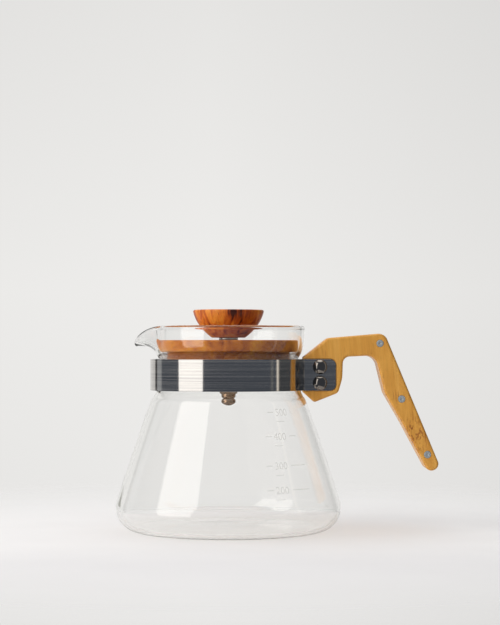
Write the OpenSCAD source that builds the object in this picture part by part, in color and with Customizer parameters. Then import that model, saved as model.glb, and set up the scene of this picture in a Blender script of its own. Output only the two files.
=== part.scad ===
// Coffee server carafe. A waisted glass body with a drawn pouring lip carries a steel neck band,
// whose bent ends clamp a riveted two-piece wooden handle. A turned wooden lid lifts off.
// +Z is up, +X points to the handle and -X to the lip. The origin is the centre of the base.

/* [Glass body] */
// Widest outer radius of the body
body_r = 59.1; // [57:0.1:61]
// Radius of the rounded heel between the base and the side
heel_r = 12.8; // [11:0.1:14]
// Slope of the side where it leaves the heel, in degrees from upright
side_angle = 17; // [15:0.5:19]
// Outward bow of the side at the middle of its height
side_bow = 0.35; // [0.1:0.05:0.8]
// Outer radius at the top of the sloping side
shoulder_r = 42.1; // [41:0.1:43.5]
// Height of the top of the sloping side
shoulder_z = 64.8; // [63:0.1:66]
// How far the foot of the neck stands out beyond the waist
neck_flare = 2.6; // [2:0.1:3]
// Height of the foot of the neck
neck_z = 75; // [74:0.1:76]
// Gap that the liner fills between the band and the waist, the narrowest place
waist_gap = 5.4; // [4.8:0.1:6]
// Height of the waist
waist_z = 87.5; // [86:0.1:88.5]
// Outer radius at the height where the lid rests
seat_r = 38.5; // [38:0.1:39]
// Height of the glass's outside where the lid rests
seat_z = 93.8; // [93:0.1:94.5]
// Slope of the lid's seat, in degrees from level
seat_angle = 62; // [56:1:66]
// Outer radius of the upright rim
rim_r = 41; // [40.5:0.1:42]
// Height of the top of the rim
rim_z = 107.7; // [106:0.1:110]
// Thickness of the glass
wall = 2; // [1.6:0.1:2.4]
// Radius of the bead that rounds the rim
bead_r = 1.2; // [1.1:0.05:1.3]
// Width of the flat ring on which the carafe stands
foot_w = 4; // [3:0.1:6]
// Rise of the base inside that ring
base_rise = 1; // [0.5:0.1:1.5]

/* [Pouring lip] */
// How far the lip reaches beyond the rim
lip_reach = 8.2; // [6:0.1:10]
// How far the lip dips below the rim
lip_drop = 8.3; // [7:0.1:9]
// Half of the angle over which the lip bulges from the rim
lip_nose_angle = 27; // [24:1:30]
// Half of the angle over which the rim dips towards the lip
lip_dip_angle = 33; // [30:1:38]

/* [Neck band] */
// Outer radius of the band
band_r = 41.2; // [40.6:0.1:42]
// Thickness of the band's sheet
band_t = 0.8; // [0.6:0.05:1]
// Height of the band's lower edge
band_z = 74; // [73.5:0.1:75]
// Height of the band from edge to edge
band_h = 16.3; // [15:0.1:17]
// Inner radius of the bend from the ring into each tab
bend_r = 1; // [0.6:0.1:1.6]
// How far the tabs reach beyond the outside of the ring
tab_reach = 14.7; // [13.3:0.1:16]
// Radius of the tabs' outer corners
tab_corner_r = 3; // [1.5:0.1:4]

/* [Handle] */
// Thickness of the whole handle, both halves together
handle_t = 24; // [21:0.1:27]
// How far the far side of the grip's tip stands out beyond the band
grip_reach = 67.2; // [63:0.1:71]
// Height of the handle's top corner
handle_top_z = 103.9; // [102:0.1:106]
// Height of the grip's tip
handle_tip_z = 32; // [28:0.1:36]
// Radius that softens the handle's outer edges
handle_edge_r = 1.3; // [0.8:0.1:1.4]
// Depth of the pocket that takes each tab
pocket_depth = 0.6; // [0.4:0.05:0.9]
// Diameter of the three rivets
rivet_d = 3.8; // [3.2:0.1:4.4]

/* [Tab screws] */
// Diameter of the domed heads
head_d = 7.5; // [6.8:0.1:7.8]
// Height of the domed heads
head_h = 2.2; // [1.8:0.1:2.6]
// Diameter of the screws' thread
screw_d = 4; // [3.4:0.1:4.2]
// Outer diameter of the sleeve nuts
sleeve_d = 5.5; // [5.3:0.1:6]
// Distance between the two screws
screw_spacing = 8.3; // [8:0.1:9]
// Distance from the end of the tabs to the screws
screw_inset = 8.2; // [7:0.1:9]
// Width of the slots in the heads
slot_w = 1; // [0.8:0.05:1.3]
// Turn of the slots, in degrees from level
slot_angle = 40; // [0:5:90]

/* [Lid] */
// Thickness of the lid's flange
flange_t = 6; // [5:0.1:7]
// Depth of the plug below the flange
plug_h = 17.5; // [14:0.1:18.5]
// Radius that rounds the lid's edges
lid_edge_r = 1; // [0.6:0.1:1.4]
// Diameter of the spacer under the knob
spacer_d = 10; // [9:0.1:12]
// Thickness of the spacer under the knob
spacer_t = 1.3; // [0.8:0.1:2]
// Radius of the knob's flat underside
knob_foot_r = 8.7; // [7.5:0.1:10]
// Radius of the knob's top
knob_r = 18.6; // [16:0.1:20]
// Height of the knob
knob_h = 14.6; // [12:0.1:16]
// Diameter of the stud through the lid
stud_d = 5; // [4:0.1:5.4]
// Depth of the stud's hole in the knob
stud_grip = 9; // [7:0.1:10]
// Diameter of the washer under the plug
washer_d = 12; // [11:0.1:14]
// Thickness of the washer under the plug
washer_t = 1; // [0.8:0.1:1.4]
// Width of the cap nut across its flats
nut_w = 8; // [7.6:0.1:9]
// Height of the whole cap nut
nut_h = 10; // [9:0.1:11]
// Height of the cap nut's hexagon
nut_hex_h = 4.5; // [4:0.1:5.5]

/* [Clearances] */
// Gap between the lid's flange and its seat in the glass
seat_gap = 0.3; // [0.25:0.01:0.4]
// Gap between the lid's plug and the waist
plug_gap = 0.8; // [0.5:0.1:1.2]
// Gap between the liner and what it lies against
liner_gap = 0.05; // [0.02:0.01:0.1]
// Gap between the handle's root and the liner
root_gap = 0.3; // [0.2:0.05:0.5]
// Least gap between the handle and the glass
glass_gap = 0.6; // [0.5:0.05:0.9]
// Gap all round between a tab and its pocket
pocket_gap = 0.4; // [0.2:0.05:0.6]
// Radial gap of pins, studs and sleeves in their bores
pin_gap = 0.03; // [0.02:0.01:0.05]
// Radial gap of screws and sleeves in the tabs' holes
tab_gap = 0.15; // [0.1:0.05:0.25]

/* [Hidden] */
$fn = 96;

// How far cutting shapes run past what they cut
overrun = 2;
// How far the lip's faceted skin lies under the rim's where the two join
seam = 0.03;

// Curves. A line is a list of [point, unit normal], where the normal points out of the glass.
function side_of(v) = [v[1], -v[0]] / norm(v);
function bezier(a, b, c, d, steps) = [
    for (i = [0 : steps])
        let (t = i / steps, u = 1 - t)
        [
            u^3 * a + 3 * u^2 * t * b + 3 * u * t^2 * c + t^3 * d,
            side_of(u^2 * (b - a) + 2 * u * t * (c - b) + t^2 * (d - c))
        ]
];
function arc(centre, r, from, to, steps) = [
    for (i = [0 : steps])
        let (n = unit(from + (to - from) * i / steps))
        [centre + r * n, n]
];
function unit(angle) = [cos(angle), sin(angle)];
function without_first(line) = [for (i = [1 : len(line) - 1]) line[i]];
function points_at(line, distance) = [for (q = line) q[0] + distance * q[1]];
function reversed(list) = [for (i = [len(list) - 1 : -1 : 0]) list[i]];
function blend(a, b, share) = a + (b - a) * share;

// Middle line of the glass, from the centre of the base up to the bead on the rim. The neck
// follows the band that grips it through the liner.
half_wall = wall / 2;
band_inner_r = band_r - band_t;
waist_r = band_inner_r - waist_gap;
neck_r = waist_r + neck_flare;
heel_centre = [body_r - heel_r, heel_r];
foot_inner = [heel_centre[0] - foot_w, half_wall];
foot_outer = [heel_centre[0], half_wall];
base_centre = [0, base_rise + half_wall];
base_line = bezier(
    base_centre, [foot_inner[0] / 2, base_centre[1]], [foot_inner[0] / 2, half_wall], foot_inner, 4
);
heel_line = arc(heel_centre, heel_r - half_wall, -90, side_angle, 9);

side_foot = heel_centre + (heel_r - half_wall) * unit(side_angle);
side_head = [shoulder_r - half_wall, shoulder_z];
side_run = side_head - side_foot;
// A bow of the cubic's two inner points lifts its middle by three quarters of that
side_lift = side_of(side_run) * side_bow * 4 / 3;
side_line = bezier(
    side_foot, side_foot + side_run / 3 + side_lift, side_head - side_run / 3 + side_lift, side_head, 6
);

neck_foot = [neck_r - half_wall, neck_z];
waist = [waist_r - half_wall, waist_z];
// Places of the curves' inner points, as shares of the way between their ends
shoulder_turn_shares = [0.42, 0.4];
neck_turn_shares = [0.48, 0.72];
waist_turn_shares = [0.44, 0.42];
neck_rise = neck_z - shoulder_z;
shoulder_dir = side_run / 3 - side_lift;
shoulder_line = bezier(
    side_head,
    side_head + shoulder_dir * neck_rise * shoulder_turn_shares[0] / shoulder_dir[1],
    neck_foot - (waist - neck_foot) * neck_rise * shoulder_turn_shares[1] / (waist_z - neck_z),
    neck_foot,
    5
);
neck_line = bezier(
    neck_foot,
    blend(neck_foot, waist, neck_turn_shares[0]),
    [waist[0], blend(neck_z, waist_z, neck_turn_shares[1])],
    waist,
    5
);
seat_dir = unit(seat_angle);
seat_mid = [seat_r, seat_z] - half_wall * side_of(seat_dir);
seat_run = norm(seat_mid - waist);
seat_line = bezier(
    waist,
    waist + [0, seat_run * waist_turn_shares[0]],
    seat_mid - seat_dir * seat_run * waist_turn_shares[1],
    seat_mid,
    5
);

// The rim rises to bead centres that reach out and dip over the lip's angle. The shares are
// of the height from seat to bead, or of the reach from seat to the lip's tip.
bead_z = rim_z - bead_r;
rim_mid_r = rim_r - half_wall;
rim_turn_share = 0.33;
rim_upright_share = 0.65;
lip_level_share = 0.58;
lip_dip_power = 0.6;
lip_tip_r = rim_mid_r + lip_reach;
dip_start_x = rim_mid_r * cos(lip_dip_angle);
function lip_bulge(angle) =
    abs(angle) >= lip_nose_angle ? 0 : (1 - (angle / lip_nose_angle)^2)^2;
function bead_r_at(angle) = rim_mid_r + lip_reach * lip_bulge(angle);
function dip_share(angle) =
    abs(angle) >= lip_dip_angle ? 0
    : let (u = (bead_r_at(angle) * cos(angle) - dip_start_x) / (lip_tip_r - dip_start_x))
        1 - (1 - min(max(u, 0), 1)^2)^lip_dip_power;
function rim_line(angle) =
    let (
        dip = dip_share(angle),
        top = [bead_r_at(angle), bead_z - lip_drop * dip],
        upright = (bead_z - seat_mid[1]) * rim_upright_share,
        level = (lip_tip_r - seat_mid[0]) * lip_level_share
    )
    bezier(
        seat_mid,
        seat_mid + seat_dir * (bead_z - seat_mid[1]) * rim_turn_share,
        top - unit(90 * (1 - dip)) * blend(upright, level, dip),
        top,
        8
    );

// Closed outline of the glass round its middle line, with the bead on its last point
function glass_outline(line, thickness, bead) =
    let (
        end = line[len(line) - 1],
        across = end[1],
        along = [-across[1], across[0]],
        tuck = acos(thickness / 2 / bead),
        body = [for (i = [0 : len(line) - 2]) line[i]]
    )
    concat(
        points_at(body, thickness / 2),
        [
            for (i = [0 : 8])
                let (a = -tuck + (180 + 2 * tuck) * i / 8)
                end[0] + bead * (cos(a) * across + sin(a) * along)
        ],
        reversed(points_at(body, -thickness / 2))
    );

lower_line = concat(
    base_line, [[foot_outer, [0, -1]]], without_first(heel_line), without_first(side_line),
    without_first(shoulder_line), without_first(neck_line)
);
upper_line = concat(seat_line, without_first(rim_line(180)));
whole_line = concat(lower_line, without_first(upper_line));

// The lip's skin is woven over these angles, and starts a little below the cut that it fills
lip_step = 3;
lip_span = lip_dip_angle + lip_step;
lip_steps = 2 * ceil(lip_span / lip_step);
lip_cut_share = 0.7;
lip_cut_z = blend(waist_z, seat_mid[1], lip_cut_share);

// End faces of a lofted skin: one polygon, or a ladder between the outline's two sides
function polygon_end(m) = [[for (j = [0 : m - 1]) j]];
function ladder_end(m) = [
    for (j = [0 : floor(m / 2) - 1])
        each [[j, j + 1, m - 1 - j], if (j + 1 < m - 2 - j) [j + 1, m - 2 - j, m - 1 - j]]
];

// Turns a list of equally long closed outlines into one skin with flat ends
module loft(rings, end) {
    m = len(rings[0]);
    last = (len(rings) - 1) * m;
    polyhedron(
        points = [for (ring = rings) each ring],
        faces = concat(
            end,
            [for (face = end) [for (j = reversed(face)) last + j]],
            [
                for (i = [0 : len(rings) - 2], j = [0 : m - 1])
                    let (k = (j + 1) % m)
                    each [
                        [i * m + j, (i + 1) * m + j, i * m + k],
                        [i * m + k, (i + 1) * m + j, (i + 1) * m + k]
                    ]
            ]
        )
    );
}

module lip_skin() {
    rings = [
        for (i = [0 : lip_steps])
            let (
                angle = lip_span - 2 * lip_span * i / lip_steps,
                line = concat(seat_line, without_first(rim_line(angle))),
                turn = unit(180 + angle)
            )
            [
                for (p = glass_outline(line, wall - 2 * seam, bead_r - seam))
                    [p[0] * turn[0], p[0] * turn[1], p[1]]
            ]
    ];
    loft(rings, ladder_end(len(rings[0])));
}

module lip_sector() {
    reach = 2 * rim_r;
    translate([0, 0, lip_cut_z])
        linear_extrude(rim_z)
            polygon([
                [0, 0],
                [-reach, -reach * tan(lip_dip_angle)],
                [-reach, reach * tan(lip_dip_angle)]
            ]);
}

module glass_body() {
    color([0.85, 0.92, 0.92, 0.4]) {
        difference() {
            rotate_extrude() polygon(glass_outline(whole_line, wall, bead_r));
            lip_sector();
        }
        lip_skin();
    }
}

// Solid of the glass as if it were full, grown by a gap, for what has to clear it. It is turned
// so that the line where its skin starts lies away from the handle.
module full_glass(gap) {
    skin = points_at(whole_line, half_wall + gap);
    rotate([0, 0, 180])
        rotate_extrude() polygon(concat([[0, skin[0][1]]], skin, [[0, skin[len(skin) - 1][1]]]));
}

band_top_z = band_z + band_h;
liner_inset = band_t;

module neck_liner() {
    color([0.9, 0.92, 0.92, 0.7])
        difference() {
            translate([0, 0, band_z + liner_inset])
                cylinder(r = band_inner_r - liner_gap, h = band_h - 2 * liner_inset);
            full_glass(liner_gap);
        }
}

// The tabs' outer faces stand proud of the wood by what the pocket doesn't take
tab_y = handle_t / 2 - pocket_depth + band_t;
tab_end_x = band_r + tab_reach;
bend_y = tab_y + bend_r;
bend_x = sqrt((band_r + bend_r)^2 - bend_y^2);
bend_angle = atan2(bend_y, bend_x);
screw_x = tab_end_x - screw_inset;
screw_mid_z = band_z + band_h / 2;
screw_high_z = screw_mid_z + screw_spacing / 2;
screw_low_z = screw_mid_z - screw_spacing / 2;

module sector(from, to, reach) {
    middle = (from + to) / 2;
    polygon([[0, 0], reach * unit(from), 2 * reach * unit(middle), reach * unit(to)]);
}

module ring(outer, inner) {
    difference() {
        circle(r = outer);
        circle(r = inner);
    }
}

module band_profile() {
    difference() {
        ring(band_r, band_inner_r);
        sector(-bend_angle, bend_angle, 2 * band_r);
    }
    for (side = [0, 1])
        mirror([0, side]) {
            translate([bend_x, bend_y])
                intersection() {
                    ring(bend_r + band_t, bend_r);
                    sector(180 + bend_angle, 270, 2 * (bend_r + band_t));
                }
            translate([bend_x, tab_y - band_t]) square([tab_end_x - bend_x, band_t]);
        }
}

// What is left outside a rounded corner of radius r, along Y
module corner_waste(r, length) {
    rotate([90, 0, 0])
        linear_extrude(length, center = true)
            difference() {
                square(r + overrun);
                circle(r = r);
            }
}

module neck_band() {
    color([0.62, 0.64, 0.67])
        difference() {
            translate([0, 0, band_z]) linear_extrude(band_h) band_profile();
            for (up = [0, 1])
                translate([
                    tab_end_x - tab_corner_r, 0,
                    up ? band_top_z - tab_corner_r : band_z + tab_corner_r
                ])
                    mirror([0, 0, 1 - up]) corner_waste(tab_corner_r, handle_t + 2 * overrun);
            for (z = [screw_high_z, screw_low_z]) {
                hole_along_y(screw_d / 2 + tab_gap, z, -handle_t, 0);
                hole_along_y(sleeve_d / 2 + tab_gap, z, 0, handle_t);
            }
        }
}

module hole_along_y(r, z, from, to) {
    translate([screw_x, to, z]) rotate([90, 0, 0]) cylinder(r = r, h = to - from);
}

// Handle outline. Each corner is [x, z, radius], anticlockwise, and a hollow corner has a
// negative radius. The places past the tabs are shares of the way from root to tip.
root_x = band_inner_r - 3 * band_t;
root_over = band_t / 4;
grip_x = band_r + grip_reach;
function grip_at(x_share, z_share) = [
    blend(root_x, grip_x, x_share),
    blend(handle_tip_z, handle_top_z, z_share)
];
foot_corner_r = 1.8;
stem_corner_r = 3;
stem_bend_r = 14;
arch_left_r = 3.6;
arch_right_r = 6;
belly_r = 7;
hollow_r = 140;
tip_corner_r = 3.4;
top_corner_r = 5;
shoulder_corner_r = 4;
corner_shares = [
    [0.095, 0.498], [0.272, 0.567], [0.303, 0.67], [0.309, 0.827], [0.547, 0.838], [0.615, 0.566],
    [0.74, 0.355], [0.939, -0.01], [1.026, 0.031], [0.616, 1], [0.196, 0.965]
];
corner_radii = [
    foot_corner_r, stem_corner_r, stem_bend_r, -arch_left_r, -arch_right_r, belly_r,
    -hollow_r, tip_corner_r, tip_corner_r, top_corner_r, shoulder_corner_r
];
handle_corners = concat(
    [
        [root_x, band_top_z + root_over, foot_corner_r],
        [root_x, band_z - root_over, foot_corner_r]
    ],
    [
        for (i = [0 : len(corner_shares) - 1])
            let (p = grip_at(corner_shares[i][0], corner_shares[i][1]))
            [p[0], p[1], corner_radii[i]]
    ]
);
rivet_shares = [[0.581, 0.925], [0.74, 0.523], [0.93, 0.122]];

// Turn from one point to the next round a corner
corner_step_angle = 15;

// Points of the rounded outline, drawn in from its edge by an inset
function rounded_outline(corners, inset) =
    let (n = len(corners))
    [
        for (i = [0 : n - 1])
            let (
                before = corners[(i + n - 1) % n],
                here = corners[i],
                after = corners[(i + 1) % n],
                p = [here[0], here[1]],
                in_dir = p - [before[0], before[1]],
                out_dir = [after[0], after[1]] - p,
                n1 = -side_of(in_dir),
                n2 = -side_of(out_dir),
                centre = p + here[2] * (n1 + n2) / (1 + n1 * n2),
                a1 = atan2(n1[1], n1[0]),
                turn = asin(n1[0] * n2[1] - n1[1] * n2[0]),
                full_turn = n1 * n2 < 0 ? sign(turn) * 180 - turn : turn,
                steps = max(2, ceil(abs(full_turn) / corner_step_angle))
            )
            for (k = [0 : steps])
                centre - (here[2] - inset) * unit(a1 + full_turn * k / steps)
    ];

// Half of the handle, with soft outer edges and an inner face that is cut flat on y = 0
edge_steps = 3;
module handle_half_blank() {
    face_y = -handle_t / 2;
    rings = [
        for (i = [0 : edge_steps + 2])
            let (
                a = 90 * min(max(i - 1, 0), edge_steps) / edge_steps,
                inset = handle_edge_r * (1 - cos(a)),
                y = i == 0 ? overrun
                    : i > edge_steps + 1 ? face_y - overrun
                    : face_y + handle_edge_r * (1 - sin(a))
            )
            [for (p = rounded_outline(handle_corners, inset)) [p[0], y, p[1]]]
    ];
    difference() {
        loft(rings, polygon_end(len(rings[0])));
        for (y = [0, face_y - 2 * overrun])
            translate([0, y, 0]) cube([2 * grip_x, 2 * overrun, 2 * handle_top_z]);
    }
}

module tab_pocket() {
    r = tab_corner_r + pocket_gap;
    end_x = tab_end_x + pocket_gap;
    low = band_z - pocket_gap;
    high = band_top_z + pocket_gap;
    translate([0, -handle_t / 2 + pocket_depth, 0])
        rotate([90, 0, 0])
            linear_extrude(pocket_depth + overrun)
                union() {
                    translate([0, low]) square([end_x - r, high - low]);
                    translate([0, low + r]) square([end_x, high - low - 2 * r]);
                    for (z = [low + r, high - r]) translate([end_x - r, z]) circle(r = r);
                }
}

module handle_half() {
    difference() {
        handle_half_blank();
        rotate([0, 0, 180]) cylinder(r = band_inner_r + root_gap, h = rim_z);
        full_glass(glass_gap);
        tab_pocket();
        for (z = [screw_high_z, screw_low_z])
            hole_along_y(sleeve_d / 2 + pin_gap, z, -handle_t, overrun);
        for (s = rivet_shares)
            place_on_grip(s)
                cylinder(r = rivet_d / 2 + pin_gap, h = handle_t + 2 * overrun, center = true);
    }
}

module place_on_grip(shares) {
    p = grip_at(shares[0], shares[1]);
    translate([p[0], 0, p[1]]) rotate([90, 0, 0]) children();
}

module handle_half_front() {
    color([0.78, 0.56, 0.28]) handle_half();
}

module handle_half_rear() {
    color([0.78, 0.56, 0.28]) mirror([0, 1, 0]) handle_half();
}

rivet_proud = 0.1;
rivet_chamfer = 0.25;
rivet_dimple_r = 0.75;
rivet_dimple_depth = 0.5;
module rivet(shares) {
    r = rivet_d / 2;
    end = handle_t / 2 + rivet_proud;
    color([0.66, 0.67, 0.68])
        place_on_grip(shares)
            rotate_extrude()
                polygon([
                    [0, -end + rivet_dimple_depth], [rivet_dimple_r, -end], [r - rivet_chamfer, -end],
                    [r, -end + rivet_chamfer], [r, end - rivet_chamfer], [r - rivet_chamfer, end],
                    [rivet_dimple_r, end], [0, end - rivet_dimple_depth]
                ]);
}

module rivet_corner() { rivet(rivet_shares[0]); }
module rivet_middle() { rivet(rivet_shares[1]); }
module rivet_tip() { rivet(rivet_shares[2]); }

// Domed slotted head that stands on z = 0
head_rim = 0.4;
slot_depth = 0.9;
module domed_head() {
    r = head_d / 2;
    dome_h = head_h - head_rim;
    ball_r = (r^2 + dome_h^2) / (2 * dome_h);
    difference() {
        union() {
            cylinder(r = r, h = head_rim);
            rotate_extrude()
                intersection() {
                    translate([0, head_h - ball_r]) circle(r = ball_r);
                    translate([0, head_rim]) square([r, dome_h]);
                }
        }
        rotate([0, 0, slot_angle])
            translate([-head_d, -slot_w / 2, head_h - slot_depth])
                cube([2 * head_d, slot_w, slot_depth + overrun]);
    }
}

// Moves a piece that stands on z = 0 to the outer face of the front or rear tab
module at_tab(z, rear) {
    translate([screw_x, 0, z])
        rotate([0, 0, rear ? 180 : 0])
            translate([0, -tab_y, 0])
                rotate([90, 0, 0]) children();
}

sleeve_l = 2 * tab_y - 2 * band_t - root_gap;
screw_reach_share = 1 / 3;
screw_l = tab_y + handle_t * screw_reach_share;
module handle_screw(z) {
    color([0.75, 0.76, 0.78])
        at_tab(z, false) {
            domed_head();
            translate([0, 0, -screw_l]) cylinder(r = screw_d / 2, h = screw_l);
        }
}

module handle_nut(z) {
    color([0.75, 0.76, 0.78])
        at_tab(z, true) {
            domed_head();
            difference() {
                translate([0, 0, -sleeve_l]) cylinder(r = sleeve_d / 2, h = sleeve_l);
                translate([0, 0, -sleeve_l - overrun])
                    cylinder(r = screw_d / 2 + pin_gap, h = sleeve_l + overrun - band_t);
            }
        }
}

module handle_screw_upper() { handle_screw(screw_high_z); }
module handle_screw_lower() { handle_screw(screw_low_z); }
module handle_nut_upper() { handle_nut(screw_high_z); }
module handle_nut_lower() { handle_nut(screw_low_z); }

// The flange's rounded lower edge lies on the seat's slope, a gap away from it. The plug clears
// the narrowest place that it goes through.
flange_side_gap = 0.2;
seat_inner = seat_mid - half_wall * side_of(seat_dir);
flange_r = seat_inner[0] - flange_side_gap;
flange_z = seat_inner[1] - lid_edge_r
    + (lid_edge_r + seat_gap - (flange_side_gap + lid_edge_r) * sin(seat_angle)) / cos(seat_angle);
flange_top_z = flange_z + flange_t;
plug_r = min(waist_r, seat_r) - wall - plug_gap;
plug_z = flange_z - plug_h;
knob_z = flange_top_z + spacer_t;
washer_z = plug_z - washer_t;
nut_z = washer_z - nut_h;
bore_r = stud_d / 2 + pin_gap;
nut_bore_share = 0.75;
nut_bore_depth = nut_h * nut_bore_share;
stud_tip_gap = 0.5;

// Quarter circle of a rounded edge, as points round its centre
quarter_steps = 6;
function edge_points(centre, r, from) = [
    for (i = [0 : quarter_steps]) centre + r * unit(from + 90 * i / quarter_steps)
];

module lid_disc() {
    r = lid_edge_r;
    color([0.72, 0.42, 0.16])
        rotate_extrude()
            polygon(concat(
                [[bore_r, plug_z]],
                edge_points([plug_r - r, plug_z + r], r, -90),
                [[plug_r, flange_z]],
                edge_points([flange_r - r, flange_z + r], r, -90),
                edge_points([flange_r - r, flange_top_z - r], r, 0),
                [[bore_r, flange_top_z]]
            ));
}

// The knob's side swells from its foot and steepens to its rim
knob_side_shares = [[0.42, 0.22], [0.86, 0.55]];
knob_rim_r = 0.9;
module knob_profile() {
    foot = [knob_foot_r, 0];
    rim = [knob_r, knob_h - knob_rim_r];
    span = rim - foot;
    s = knob_side_shares;
    side = bezier(
        foot,
        foot + [span[0] * s[0][0], span[1] * s[0][1]],
        foot + [span[0] * s[1][0], span[1] * s[1][1]],
        rim,
        16
    );
    polygon(concat(
        [[0, 0]],
        [for (q = side) q[0]],
        edge_points([knob_r - knob_rim_r, knob_h - knob_rim_r], knob_rim_r, 0),
        [[0, knob_h]]
    ));
}

module lid_knob() {
    color([0.68, 0.33, 0.13])
        translate([0, 0, knob_z])
            difference() {
                rotate_extrude() knob_profile();
                translate([0, 0, -overrun]) cylinder(r = bore_r, h = stud_grip + overrun);
            }
}

module drilled_disc(r, h) {
    difference() {
        cylinder(r = r, h = h);
        translate([0, 0, -overrun]) cylinder(r = bore_r, h = h + 2 * overrun);
    }
}

module knob_spacer() {
    color([0.7, 0.71, 0.73]) translate([0, 0, flange_top_z]) drilled_disc(spacer_d / 2, spacer_t);
}

module lid_stud() {
    low = nut_z + nut_h - nut_bore_depth + stud_tip_gap;
    high = knob_z + stud_grip - stud_tip_gap;
    color([0.7, 0.71, 0.73]) translate([0, 0, low]) cylinder(r = stud_d / 2, h = high - low);
}

module lid_washer() {
    color([0.7, 0.71, 0.73]) translate([0, 0, washer_z]) drilled_disc(washer_d / 2, washer_t);
}

// Cap nut with its hexagon up against the washer and its dome down
nut_neck_share = 0.94;
module lid_cap_nut() {
    hex_r = nut_w / 2 / cos(30);
    dome_r = nut_w / 2 * nut_neck_share;
    dome_h = nut_h - nut_hex_h;
    color([0.74, 0.75, 0.77])
        translate([0, 0, nut_z + nut_h])
            mirror([0, 0, 1])
                difference() {
                    union() {
                        intersection() {
                            cylinder(r = hex_r, h = nut_hex_h, $fn = 6);
                            chamfered_round(hex_r, nut_w / 2, nut_hex_h);
                        }
                        cylinder(r = dome_r, h = nut_h - dome_r);
                        translate([0, 0, nut_h - dome_r])
                            rotate_extrude()
                                intersection() {
                                    circle(r = dome_r);
                                    square(dome_r);
                                }
                    }
                    translate([0, 0, -overrun]) cylinder(r = bore_r, h = nut_bore_depth + overrun);
                }
}

// Round blank whose two ends are turned down, as a hexagon's corners are
module chamfered_round(r, end_r, h) {
    drop = (r - end_r) * tan(30);
    rotate_extrude()
        polygon([[0, 0], [end_r, 0], [r, drop], [r, h - drop], [end_r, h], [0, h]]);
}

glass_body();
neck_liner();
neck_band();
handle_half_front();
handle_half_rear();
rivet_corner();
rivet_middle();
rivet_tip();
handle_screw_upper();
handle_screw_lower();
handle_nut_upper();
handle_nut_lower();
lid_disc();
lid_knob();
knob_spacer();
lid_stud();
lid_washer();
lid_cap_nut();
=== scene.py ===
# Looks of the coffee server carafe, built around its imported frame. Lengths are in metres, and angles in
# degrees unless math takes them. Each make_ function draws the pieces that stand for one kind of node.
import math

import bmesh
import bpy
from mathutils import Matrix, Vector


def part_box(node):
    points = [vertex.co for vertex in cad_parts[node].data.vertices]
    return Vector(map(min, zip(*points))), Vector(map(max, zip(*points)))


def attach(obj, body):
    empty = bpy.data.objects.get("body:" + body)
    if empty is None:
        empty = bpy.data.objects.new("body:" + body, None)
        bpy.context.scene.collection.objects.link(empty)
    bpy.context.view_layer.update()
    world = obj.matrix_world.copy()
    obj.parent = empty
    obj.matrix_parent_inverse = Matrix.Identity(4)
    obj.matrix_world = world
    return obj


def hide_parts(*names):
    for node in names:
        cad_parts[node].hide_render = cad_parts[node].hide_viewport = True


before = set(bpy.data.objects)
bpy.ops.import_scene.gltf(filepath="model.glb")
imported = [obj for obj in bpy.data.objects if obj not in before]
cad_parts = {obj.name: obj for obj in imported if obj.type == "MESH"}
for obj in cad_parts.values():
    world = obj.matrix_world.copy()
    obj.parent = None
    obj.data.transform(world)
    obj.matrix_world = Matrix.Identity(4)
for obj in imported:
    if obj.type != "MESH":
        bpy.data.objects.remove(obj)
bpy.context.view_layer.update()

mm = 0.001
scene = bpy.context.scene


# Plane geometry. A line is a list of (point, unit normal), with the normal out of the glass.
def unit(degrees):
    return Vector((math.cos(math.radians(degrees)), math.sin(math.radians(degrees))))


def side_of(v):
    return Vector((v[1], -v[0])).normalized()


def bezier(a, b, c, d, steps):
    line = []
    for i in range(steps + 1):
        t = i / steps
        u = 1 - t
        point = u**3 * a + 3 * u**2 * t * b + 3 * u * t**2 * c + t**3 * d
        along = u**2 * (b - a) + 2 * u * t * (c - b) + t**2 * (d - c)
        line.append((point, side_of(along)))
    return line


def arc(centre, r, start, end, steps):
    normals = [unit(start + (end - start) * i / steps) for i in range(steps + 1)]
    return [(centre + r * n, n) for n in normals]


def points_at(line, distance):
    return [p + distance * n for p, n in line]


def mix(a, b, share):
    return a + (b - a) * share


def rounded(corners, radii, step=12, inset=0.0, fewest=2):
    """A closed outline, anticlockwise, with its corners rounded, moved in from its edge by an inset.
    A hollow corner's radius is negative."""
    outline = []
    for i, here in enumerate(corners):
        before, after = corners[i - 1], corners[(i + 1) % len(corners)]
        r = radii[i]
        if r == 0:
            outline.append(here.copy())
            continue
        n1 = -side_of(here - before)
        n2 = -side_of(after - here)
        centre = here + r * (n1 + n2) / (1 + n1.dot(n2))
        turn = math.degrees(math.atan2(n1.x * n2.y - n1.y * n2.x, n1.dot(n2)))
        start = math.degrees(math.atan2(n1.y, n1.x))
        steps = max(fewest, math.ceil(abs(turn) / step))
        outline += [centre - (r - inset) * unit(start + turn * k / steps) for k in range(steps + 1)]
    return outline


# Meshes
def smooth(mesh, sharp):
    """Smooth shading, apart from edges sharper than an angle."""
    mesh.polygons.foreach_set("use_smooth", [True] * len(mesh.polygons))
    mesh.set_sharp_from_angle(angle=math.radians(sharp))


def face_outward(mesh, join=0.0):
    """Turns the faces outward, after points closer than a distance are joined."""
    bm = bmesh.new()
    bm.from_mesh(mesh)
    if join:
        bmesh.ops.remove_doubles(bm, verts=bm.verts, dist=join)
    bmesh.ops.recalc_face_normals(bm, faces=bm.faces)
    bm.to_mesh(mesh)
    bm.free()


def new_piece(name, verts, faces, sharp=35):
    mesh = bpy.data.meshes.new(name)
    mesh.from_pydata([tuple(v) for v in verts], [], faces)
    face_outward(mesh, 0.0005 * mm)
    smooth(mesh, sharp)
    piece = bpy.data.objects.new(name, mesh)
    scene.collection.objects.link(piece)
    return piece


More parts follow.
